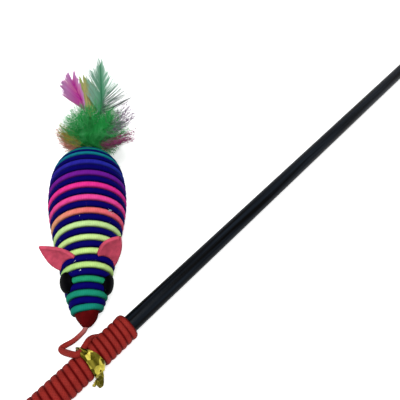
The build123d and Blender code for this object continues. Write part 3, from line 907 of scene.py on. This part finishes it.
# Turn along the rainbow yarn and its colour there
RAINBOW = [
    (0, (28, 140, 122)), (1, (34, 148, 120)), (2.3, (46, 160, 112)), (2.75, (156, 220, 130)), (3, (202, 240, 146)),
    (4, (210, 246, 150)), (5, (214, 247, 158)), (6, (206, 243, 164)), (6.5, (208, 236, 156)),
    (6.78, (238, 182, 132)), (7, (246, 128, 122)), (7.3, (244, 90, 136)), (8, (246, 86, 164)), (9, (244, 60, 154)),
    (9.4, (202, 42, 148)), (9.8, (126, 34, 152)), (10.2, (106, 32, 152)), (10.8, (54, 42, 158)),
    (11.15, (42, 48, 160)), (11.6, (28, 92, 150)), (12, (24, 128, 146)), (12.6, (20, 128, 124)),
    (13.54, (22, 128, 100)),
]
# Crumbs of lint: station, angle and number
LINT = [(35.7, -46, 12), (36.1, -44, 5), (35.5, -50, 6), (33.1, 2, 3), (18.8, 12, 2), (15.1, 1, 3)]


def round_mouse(angle):
    """Direction out of the mouse's axis, with the angle in degrees from its top towards its left."""
    turn = math.radians(angle)
    return UP * math.cos(turn) + LEFT * math.sin(turn)


def on_mouse(station, angle, radius):
    """Point round the mouse's axis."""
    return NOSE + WAY * station + round_mouse(angle) * radius


def off_skin(angle, slope):
    """Direction out of the mouse's skin where it has a slope."""
    return unit(round_mouse(angle) - WAY * slope)


def widest_radius(settings):
    """Radius of the yarn's line where the body is widest."""
    return settings.body_width / MM / 2 - YARN_DEPTH


def body_radius(station, widest):
    """Radius of the yarn's line at a station: a blunt cone that rounds off to the tail."""
    past = station - WIDEST_STATION
    if past <= 0:
        return widest - math.hypot(CONE_SLOPE * past, CONE_BEND) + CONE_BEND
    return widest * max(0.0, 1 - (past / CLOSE_SPAN) ** CLOSE_POWER) ** (1 / CLOSE_POWER)


def row_width(station):
    """Width of a row of yarn: rows widen along the body and are packed closer at its tail end."""
    return 2.22 + 0.62 * ((station - YARN_START) / 62.6) ** 2 - 0.8 * np.clip((station - 58) / 2, 0, 1)


def yarn_line(first_angle, before, widest):
    """Points and outward directions of a yarn wound from the nose to the tail."""
    points, outs = [], []
    # The start lies flat against the nose
    for step in range(-before, 0):
        station, angle = YARN_START + step * 0.007, first_angle - STEP_ANGLE * step
        points.append(on_mouse(station, angle, body_radius(station, widest) - 0.5))
        outs.append(off_skin(angle, 0.25))
    station, angle = YARN_START, first_angle
    while station <= WIDEST_STATION or body_radius(station, widest) >= YARN_END_RADIUS:
        radius, turn, past = body_radius(station, widest), math.radians(angle), station - YARN_START
        slope = (body_radius(station + 0.05, widest) - body_radius(station - 0.05, widest)) / 0.1
        # The rows lean: each is nearer the tail on the mouse's back than on its belly
        lean = station + 0.15 * radius * (math.cos(turn) - 1) * min(1, past / 8)
        lean += 0.8 * math.sin(turn) * max(0, min(1, (24 - station) / 12)) * min(1, past / 2)
        pinch = 0.5 * max(0, 1 - (lean - YARN_START) / 4)
        points.append(on_mouse(lean, angle, body_radius(lean, widest) - pinch))
        outs.append(off_skin(angle, slope))
        station += 2 * row_width(station) / STEPS_A_TURN / math.hypot(1, slope)
        angle -= STEP_ANGLE
    return np.array(points), np.array(outs)


class TeaserYarnOperator(bpy.types.Operator):
    """Winds the navy and the rainbow yarn side by side round the mouse, with their fuzz"""

    bl_idname = "teaser.yarn"
    bl_label = "Yarn"

    def execute(self, context):
        settings = context.scene.teaser.mouse
        widest = widest_radius(settings)
        high = settings.yarn_height / MM
        navy = tuple(settings.navy)
        # Each yarn: first angle, points laid before it, finish, and colours by the turn
        yarns = {
            "yarn_navy": (176.0, 24, "Navy yarn", [(0.0, navy), (RAINBOW[-1][0], shade(navy, 0.9))]),
            "yarn_rainbow": (-4.0, 62, "Rainbow yarn", [(turn, srgb(*colour)) for turn, colour in RAINBOW]),
        }
        for name, (first, before, label, stops) in yarns.items():
            points, outs = yarn_line(first, before, widest)
            number, wound = np.arange(len(points)), len(points) - 1 - before
            material = yarn_material(label, [(turn / (wound / STEPS_A_TURN), colour) for turn, colour in stops])
            stations = (points - NOSE) @ WAY
            rows = row_width(stations) + np.interp(stations, [4, 14], [0.2, 0])
            # The rows lie flatter near the nose, with their crests still on the outside
            flat = np.interp(stations, [4, 22], [0.8, 1.0])
            sunk = high / 2 * flat - YARN_DEPTH
            # The start tapers, and neighbouring rows press into each other
            fit = np.clip((number + 1) / 30, 0.4, 1)
            shares = (number - before) / wound
            yarn = swept_tube(
                name + "_strand", points - outs * sunk[:, None], outs, high / 2 * flat * fit,
                rows / 2 * 1.03 * fit, 16, material,
                ripple=lambda run, angle: 1 + 0.012 * np.cos(2 * angle + 2 * math.pi * 0.3 * run),
                shares=np.clip(shares, 0, 1),
            )
            for vertex in yarn.data.vertices:
                vertex.co.z = max(vertex.co.z, (FLOOR_HEIGHT + 0.12) * MM)
            for piece in (yarn, self.fuzz(name, points, outs, shares, high, material)):
                settle(piece, "mouse", name, name)
        settle(self.lint(widest), "mouse", None, "yarn_navy")
        white = coated_material("White core", srgb(225, 225, 220), 0.5, 0.05, 200.0)
        for node in ("core_front_shell", "core_rear_shell"):
            paint_node(node, white)
        return {"FINISHED"}

    def fuzz(self, name, points, outs, shares, high, material):
        """Short loose fibres standing out of a yarn, from its second turn on."""
        chance = np.random.default_rng(len(name))
        count, segments = 1500, 2
        pick = chance.integers(STEPS_A_TURN + 5, len(points) - 2, count)
        ways = tangents_of(points)[pick]
        across = np.cross(ways, outs[pick])
        turn = chance.uniform(-1.3, 1.3, count)[:, None]
        skin = outs[pick] * np.cos(turn) + across * np.sin(turn)
        # The roots lie just inside the yarn
        places = points[pick] - outs[pick] * 0.22 + skin * (high / 2 * 0.93)
        places[:, 2] = np.maximum(places[:, 2], FLOOR_HEIGHT + 0.4)
        lean = skin * chance.uniform(0.35, 0.9, count)[:, None] + ways * chance.normal(0, 0.8, count)[:, None]
        lean += chance.normal(0, 0.3, (count, 3))
        # Fibres near the floor turn up
        lean[:, 2] = np.where(places[:, 2] < -2, np.abs(lean[:, 2]), lean[:, 2])
        piece = strands(
            name + "_fuzz", places, lean, skin, chance.uniform(0.5, 1.5, count), 0.035, 0.0, material,
            Segments=segments, Taper=0.7, Curl=0.25, Size_Spread=0.3, Seed=3,
        )
        store(piece, "run", np.repeat(shares[pick], 2 * (segments + 1)))
        return piece

    def lint(self, widest):
        """White crumbs caught on the yarn."""
        chance = np.random.default_rng(5)
        places, faces = [], []
        for station, angle, count in LINT:
            for _ in range(count):
                spot, turn = station + chance.normal(0, 0.25), angle + chance.normal(0, 1.2)
                places.append(on_mouse(spot, turn, body_radius(spot, widest) + 0.95))
                faces.append(places[-1] - NOSE - WAY * spot)
        ways = unit(chance.normal(0, 1, (len(places), 3))) + 0.4 * unit(faces)
        material, tree, shader = new_material("Lint", 0.9)
        feed(tree, shader, {"Base Color": srgb(190, 194, 204)})
        return strands(
            "lint", places, ways, faces, chance.uniform(0.3, 0.8, len(places)), 0.13, 0.0, material,
            Segments=2, Taper=0.5, Curl=0.3, Size_Spread=0.3, Seed=9,
        )


class TeaserFaceOperator(bpy.types.Operator):
    """Makes the felt nose and ears and the bead eyes"""

    bl_idname = "teaser.face"
    bl_label = "Nose, Ears and Eyes"

    # Profiles of the nose, from inside the mouse to its tip, and of an eye, from its crown to its seat: station
    # along the axis and radius
    nose_profile = [
        (5.2, 0), (5.0, 4.3), (4.3, 4.2), (3.5, 3.95), (2.7, 3.6), (1.8, 3.15), (0.9, 2.7), (0.0, 2.1),
        (-0.75, 1.4), (-1.1, 0.75), (-1.2, 0),
    ]
    eye_profile = [
        (1.6, 0), (1.57, 0.9), (1.42, 1.8), (1.1, 2.6), (0.7, 3.05), (0.2, 3.3), (-0.5, 3.3), (-1.2, 3.1), (-1.3, 0),
    ]
    # Each eye: station and angle
    eyes = {"left_eye": (13.0, 50), "right_eye": (12.0, -82)}
    # Each ear: its two base points as station and angle, its tip, how blunt it is and the side that it faces
    ears = {
        "left_ear": ((20.6, 10), (18.3, 66), (23.0, 45, 17.8), 2.6, 1),
        "right_ear": ((20.8, -28), (19.4, -94), (24.2, -49, 17.0), 3.6, -1),
    }

    def execute(self, context):
        settings = context.scene.teaser.mouse
        widest = widest_radius(settings)
        nose = revolved_piece(
            "nose", self.nose_profile, 40, NOSE, WAY, UP, LEFT, felt_material("Nose felt", tuple(settings.nose)),
            lambda station, a: 1 + 0.05 * math.sin(3 * a + station) + 0.03 * math.sin(7 * a - 2 * station),
        )
        settle(nose, "mouse", "felt_nose", "nose_cap")
        felt = felt_material("Ear felt", tuple(settings.ears))
        for node, shape in self.ears.items():
            grid = self.ear_grid(widest, *shape)
            settle(sheet_piece(node + "_felt", grid, felt, 1.1), "mouse", "felt_ear", node)
        bead = bead_material(tuple(settings.eyes))
        for node, (station, angle) in self.eyes.items():
            out = off_skin(angle, 0.25)
            side = unit(np.cross(out, WAY))
            seat = on_mouse(station, angle, body_radius(station, widest) + 0.4)
            along = np.cross(side, out) * 1.08
            eye = revolved_piece(node + "_bead", self.eye_profile, 28, seat, out, side, along, bead)
            settle(eye, "mouse", "eye_black", node)
        return {"FINISHED"}

    def ear_grid(self, widest, inner, outer, tip, blunt, side):
        """Grid of a curled leaf that stands between two base points and its tip."""
        rows, columns = 17, 15
        base = np.array([
            on_mouse(station, angle, body_radius(station, widest) + 0.6)
            for station, angle in finer([inner, outer], columns)
        ])
        centre = base.mean(axis=0)
        rise = on_mouse(*tip) - centre
        face = unit(np.cross(base[-1] - base[0], rise)) * side
        across = np.linspace(-1, 1, columns)[:, None]
        grid = []
        for height in np.linspace(0, 1, rows):
            width = (1 - height ** blunt) * (0.88 + 0.1 * math.sin(math.pi * height ** 0.8))
            cup = 1.5 * (across ** 2 - 0.4) * width - 1.3 * height * (1 - height)
            grid.append(centre + (base - centre) * width + rise * height - face * cup)
        return np.array(grid)


# Feather tail


def in_tail(station, left, up):
    """Point in the mouse's frame."""
    return NOSE + WAY * station + LEFT * left + UP * up


class Fronds:
    """Gathers the barbs of soft fronds: each has a bowed middle line with barbs that lean out of it."""

    def __init__(self, chance, centre):
        self.chance, self.centre = chance, centre
        self.places, self.ways, self.faces, self.lengths, self.tones = [], [], [], [], []

    def add(self, root, bow, goal, tone, steps, barb, splay):
        """Barbs of one frond from its root to its goal, leaning out of it by the share splay."""
        chance = self.chance
        plane = chance.normal(0, 1, 3)
        for step in range(steps):
            t = 0.15 + 0.85 * (step + chance.uniform(0, 1)) / steps
            spot = root * (1 - t) ** 2 + 2 * bow * t * (1 - t) + goal * t * t
            run = unit(2 * (bow - root) * (1 - t) + 2 * (goal - bow) * t)
            side = unit(np.cross(run, plane))
            for sign in (-1, 1):
                self.places.append(spot)
                self.ways.append(run * 0.6 + (side * sign * 0.7 + chance.normal(0, 0.3, 3)) * splay)
                self.faces.append(spot - self.centre + chance.normal(0, 3, 3))
                self.lengths.append(barb * chance.uniform(0.6, 1.2) * (1.2 - 0.7 * t))
                self.tones.append(tone * (0.3 + 0.7 * t))

    def piece(self, name, material, width):
        """All barbs as one piece."""
        return strands(
            name, self.places, self.ways, self.faces, self.lengths, width, self.tones, material,
            Segments=3, Taper=0.85, Curl=0.18, Size_Spread=0.2, Seed=5,
        )


class TeaserDownOperator(bpy.types.Operator):
    """Fluffs the ball of green down at the root of the tail"""

    bl_idname = "teaser.down"
    bl_label = "Down"

    # Middle of the ball in the mouse's frame, and its half sizes along the mouse, to its left and up
    middle, half_sizes = (80.8, -2.5, 0.5), (14.2, 16.4, 12.4)

    def execute(self, context):
        settings = context.scene.teaser.tail
        chance = np.random.default_rng(settings.seed)
        centre = in_tail(*self.middle)
        axes = np.array([WAY, LEFT, UP]) * np.array(self.half_sizes)[:, None]
        fluff = Fronds(chance, centre)
        for number in range(settings.fronds):
            aim = chance.normal(0, 1, 3) * [1, 1, 0.75]
            if number % 5 == 0:
                # Fill the end of the ball
                aim[0] = abs(aim[0]) + 1.2
            aim = unit(aim)
            aim[0] = max(aim[0], -0.62)
            reach = chance.uniform(0.5, 1) ** 0.5 * 0.93
            goal = centre + (aim * reach) @ axes
            root = in_tail(70.1 + chance.uniform(0, 5), *chance.normal(-0.5, 1.6, 2))
            bow = centre + (root - centre) * 0.45 + (aim * 0.6) @ axes + chance.normal(0, 1.0, 3)
            fluff.add(root, bow, goal, chance.uniform(0, 0.9) ** 2, steps=17, barb=3.6, splay=1.0)
        dark, light = tuple(settings.down_dark), tuple(settings.down)
        material = feather_material("Green down", dark, light, srgb(98, 186, 122), 0.7)
        settle(fluff.piece("tail_down", material, 0.13), "tail", "feather_green", "feather_tuft")
        paint_node("feather_bead", coated_material("Clear glue", srgb(96, 128, 84), 0.35, 0.1, 400.0))
        return {"FINISHED"}


class TeaserWispsOperator(bpy.types.Operator):
    """Adds the soft coloured wisps at the sides of the down"""

    bl_idname = "teaser.wisps"
    bl_label = "Side Wisps"

    # Slot, root, tips that the fronds spread between, number of fronds, barb length, fade along the barb,
    # root, tip and second colours
    wisps = {
        "feather_salmon": (
            "feather_salmon", (70.5, 2.0, 0.0), [(80, 12.8, 3), (76, 11.8, 3), (70.0, 8.0, 3)], 34, 3.2, 0.8,
            (188, 138, 96), (226, 170, 146), (214, 122, 126),
        ),
        "feather_lime": (
            "feather_lime", (70.5, 1.5, 1.5), [(82, 11.2, 5), (77.5, 10.4, 5.5), (71.5, 7.0, 5.5)], 20, 3.0, 0.8,
            (140, 150, 40), (150, 156, 84), (190, 150, 80),
        ),
        "feather_wisp": (
            "feather_purple", (71.0, -2.5, 2.0),
            [(81.5, -20.2, 6), (84, -19, 6), (79, -19, 6), (91.5, -15.6, 6), (87, -17.2, 6)], 36, 3.2, 0.6,
            (104, 116, 108), (172, 138, 176), (128, 98, 132),
        ),
        "feather_purple": (
            "feather_purple", (71.0, -2.5, 0.5),
            [(77, -20.0, 3), (73.5, -19.8, 3), (71, -17.6, 3), (70, -13.5, 3)], 32, 2.8, 0.8,
            (96, 112, 50), (196, 56, 164), (150, 44, 104),
        ),
    }

    def execute(self, context):
        chance = np.random.default_rng(context.scene.teaser.tail.seed + 1)
        for node, (slot, root, tips, count, barb, fade, *colours) in self.wisps.items():
            fluff = Fronds(chance, in_tail(*root))
            for _ in range(count):
                mix = chance.dirichlet([0.4] * len(tips))
                goal = np.array(tips).T @ mix + chance.normal(0, 0.7, 3)
                start = np.array(root) + chance.normal(0, 0.8, 3)
                bow = (start + goal) / 2 + chance.normal(0, 1.2, 3)
                line = [in_tail(*point) for point in (start, bow, goal)]
                fluff.add(*line, chance.uniform(0, 1), steps=13, barb=barb, splay=0.4)
            material = feather_material(node + " barbs", *(srgb(*colour) for colour in colours), fade)
            settle(fluff.piece(node + "_fluff", material, 0.19), "tail", slot, node)
        return {"FINISHED"}


class TeaserPlumesOperator(bpy.types.Operator):
    """Sets the long feathers in the tail, each with its shaft and barbs"""

    bl_idname = "teaser.plumes"
    bl_label = "Long Feathers"

    # Barbs are counted on each side. Their angles and lengths run from the base to the tip, on the left and on the
    # right. bare is the share of the shaft without barbs, clump the spread of clumps in degrees and painted_shade the
    # share of the second colour painted as shade at the right of the base
    plumes = {
        "hackle_green": dict(
            slot="feather_pale", barbs=190, bare=0.36, width=0.22, taper=0.6, clump=1.6, painted_shade=0.9, fade=0.8,
            shaft=[(71, -0.5, 0), (80, -4.2, 2.6), (90, -6.1, 4.6), (100, -6.4, 6.2), (111.3, -6.3, 7.5)],
            angles=((38, 27, 8), (64, 29, 8)), lengths=((10, 12.5, 4.5), (14, 9.5, 4.5)),
            colours=((40, 122, 80), (146, 190, 168), (74, 74, 80)),
        ),
        "feather_magenta": dict(
            slot="feather_magenta", barbs=220, bare=0.4, width=0.4, taper=0.35, clump=1.2, painted_shade=0.0, fade=1.6,
            shaft=[(71, 0, 0), (82, 0.4, 2.8), (91.5, 1.4, 5), (97, 3.7, 6.4), (102, 5.6, 7.4)],
            angles=((42, 24, 2), (22, 26, 26)), lengths=((11, 9.5, 5), (1.6, 5.0, 5.5)),
            colours=((158, 18, 130), (184, 134, 186), (214, 126, 146)),
        ),
        "feather_olive": dict(
            slot="feather_olive", barbs=180, bare=0.4, width=0.4, taper=0.35, clump=1.0, painted_shade=0.0, fade=1.0,
            shaft=[(71, -0.2, 0), (84, -1.0, 1.6), (93, -0.6, 3.2), (102.5, 1.4, 4.8)],
            angles=((26, 20, 8), (36, 24, 8)), lengths=((8, 8, 5), (9, 9.5, 5)),
            colours=((160, 150, 94), (136, 158, 90), (206, 182, 130)),
        ),
    }

    def execute(self, context):
        for number, (node, values) in enumerate(self.plumes.items()):
            self.plume(node, number, **values)
        return {"FINISHED"}

    def plume(
        self, node, number, slot, barbs, bare, width, taper, clump, painted_shade, fade, shaft, angles, lengths, colours
    ):
        """One feather: a bowed shaft with barbs on both sides."""
        chance = np.random.default_rng(40 + number)
        first, last, second = (srgb(*colour) for colour in colours)
        line = spline_points(node + "_line", [in_tail(*p) for p in shaft], 10)
        share = np.linspace(0, 1, len(line))
        ways = tangents_of(line)
        sides = unit(np.cross(UP, ways))
        faces = np.cross(ways, sides)
        thick = 0.26 - 0.2 * share
        quill = coated_material(node + " shaft", shade(first, 0.55), 0.5, 0.15, 600.0)
        stem = swept_tube(node + "_shaft", line, faces, thick, thick, 8, quill)
        count = barbs * 2
        t = bare + (1 - bare) * (np.arange(count) // 2 + chance.uniform(0, 1, count)) / barbs
        run = (t - bare) / (1 - bare)
        sign = np.where(np.arange(count) % 2 == 0, 1, -1)

        def along(values):
            return np.column_stack([np.interp(t, share, column) for column in values.T])

        def by_side(values):
            return np.where(sign > 0, *(np.interp(run, [0, 0.5, 1], side) for side in values))

        clumps = np.repeat(chance.normal(0, clump, count // 12 + 1), 12)[:count]
        spread = np.radians(by_side(angles) + clumps + chance.normal(0, 1.5, count)) * sign
        aim = along(ways) * np.cos(spread)[:, None] + along(sides) * np.sin(spread)[:, None]
        aim += along(faces) * chance.normal(0, 0.05, count)[:, None]
        size = by_side(lengths) * chance.uniform(0.8, 1.1, count)
        # Random tone, plus painted shade at the right of the base where painted_shade is set
        tones = np.clip(chance.uniform(0, 0.7, count) ** 2 + painted_shade * (1 - 2.5 * run) * (sign < 0), 0, 1)
        vane = strands(
            node + "_vane", along(line), aim, along(faces), size, width, tones,
            feather_material(node + " barbs", first, last, second, fade),
            Segments=4, Taper=taper, Curl=0.08, Size_Spread=0.06, Seed=number,
        )
        for piece in (stem, vane):
            settle(piece, "tail", slot, node)


# Stage


def seen_share(tree):
    """One for what the camera sees, straight, mirrored or through glass, and nought for light on the object."""
    path = add_node(tree, "ShaderNodeLightPath").outputs
    mirrored = maths(tree, "MAXIMUM", path["Is Glossy Ray"], path["Is Transmission Ray"])
    return maths(tree, "MAXIMUM", path["Is Camera Ray"], mirrored)


class TeaserStageOperator(bpy.types.Operator):
    """Sets the camera, the floor and the soft light"""

    bl_idname = "teaser.stage"
    bl_label = "Stage"

    def execute(self, context):
        settings = context.scene.teaser.stage
        scene = context.scene
        scene.view_settings.view_transform = "Standard"
        lens = bpy.data.cameras.new("camera")
        lens.lens = settings.focal_length
        lens.sensor_width = 36
        lens.clip_start = 0.005
        camera = bpy.data.objects.new("camera", lens)
        look = Vector((-0.4736, -0.4346, -0.7660)).normalized()
        right = Vector((-0.6762, 0.7367, 0.0)).normalized()
        up = right.cross(look)
        turn = Matrix((right, up, -look)).transposed().to_4x4()
        camera.matrix_world = Matrix.Translation(Vector((286.31, 52.71, 126.27)) * MM) @ turn
        scene.collection.objects.link(camera)
        scene.camera = camera
        self.floor(tuple(settings.floor))
        self.lamps(scene, look, right, up)
        self.world(scene)
        return {"FINISHED"}

    def floor(self, colour):
        """Pale floor that is white to the camera where no shadow falls."""
        level = FLOOR_HEIGHT - 0.02
        corners = [(-2000, -2000, level), (2500, -2000, level), (2500, 2000, level), (-2000, 2000, level)]
        material, tree, shader = new_material("Pale floor", 0.9)
        clouds = add_mottle(tree, colour, shade(colour, 0.99), 20.0)["Color"]
        glow = maths(tree, "MULTIPLY", seen_share(tree), 0.6)
        feed(tree, shader, {"Base Color": clouds, "Emission Color": (1, 1, 1), "Emission Strength": glow})
        new_piece("floor", corners, [(0, 1, 2, 3)], material)

    def lamps(self, scene, look, right, up):
        """Large soft lamps."""
        middle = Vector((255, -35, 5)) * MM
        for name, place, size, power in (
            ("key", middle - look * 0.62 + up * 0.3 + right * 0.1, 0.45, 4.6),
            ("fill", middle - look * 0.35 - right * 0.65, 0.5, 0.8),
        ):
            lamp = bpy.data.lights.new(name, "AREA")
            lamp.shape = "DISK"
            lamp.size = size
            lamp.energy = power
            light = bpy.data.objects.new(name, lamp)
            light.location = place
            light.rotation_euler = (middle - place).to_track_quat("-Z", "Y").to_euler()
            scene.collection.objects.link(light)

    def world(self, scene):
        """White surroundings to the camera, dimmer as light."""
        world = bpy.data.worlds.new("studio")
        world.use_nodes = True
        tree = world.node_tree
        strength = maths(tree, "MULTIPLY_ADD", seen_share(tree), 0.82, 0.18)
        feed(tree, tree.nodes["Background"], {"Color": (1, 1, 1), "Strength": strength})
        scene.world = world


class TeaserPanel(bpy.types.Panel):
    """Lists the steps that dress the teaser wand"""

    bl_idname = "VIEW3D_PT_teaser"
    bl_label = "Teaser Wand"
    bl_space_type = "VIEW_3D"
    bl_region_type = "UI"
    bl_category = "Teaser Wand"

    def draw(self, context):
        for step in STEPS:
            self.layout.operator(step.bl_idname)
        for part in ("wand", "cord", "mouse", "tail", "stage"):
            group = getattr(context.scene.teaser, part)
            for label in group.bl_rna.properties.keys():
                if label not in ("rna_type", "name"):
                    self.layout.prop(group, label)


STEPS = (
    TeaserRodOperator, TeaserCordOperator, TeaserTieOperator, TeaserYarnOperator, TeaserFaceOperator,
    TeaserDownOperator, TeaserWispsOperator, TeaserPlumesOperator, TeaserStageOperator,
)
CLASSES = (
    TeaserWandSettings, TeaserCordSettings, TeaserMouseSettings, TeaserTailSettings, TeaserStageSettings,
    TeaserSettings, *STEPS, TeaserPanel,
)


def register():
    """Adds the settings, the operators and the panel."""
    for item in CLASSES:
        bpy.utils.register_class(item)
    bpy.types.Scene.teaser = bpy.props.PointerProperty(type=TeaserSettings)


def unregister():
    """Removes the settings, the operators and the panel."""
    del bpy.types.Scene.teaser
    for item in reversed(CLASSES):
        bpy.utils.unregister_class(item)


def main():
    """Dresses the wand step by step."""
    register()
    for step in STEPS:
        area, name = step.bl_idname.split(".")
        getattr(getattr(bpy.ops, area), name)()


if __name__ == "__main__":
    main()
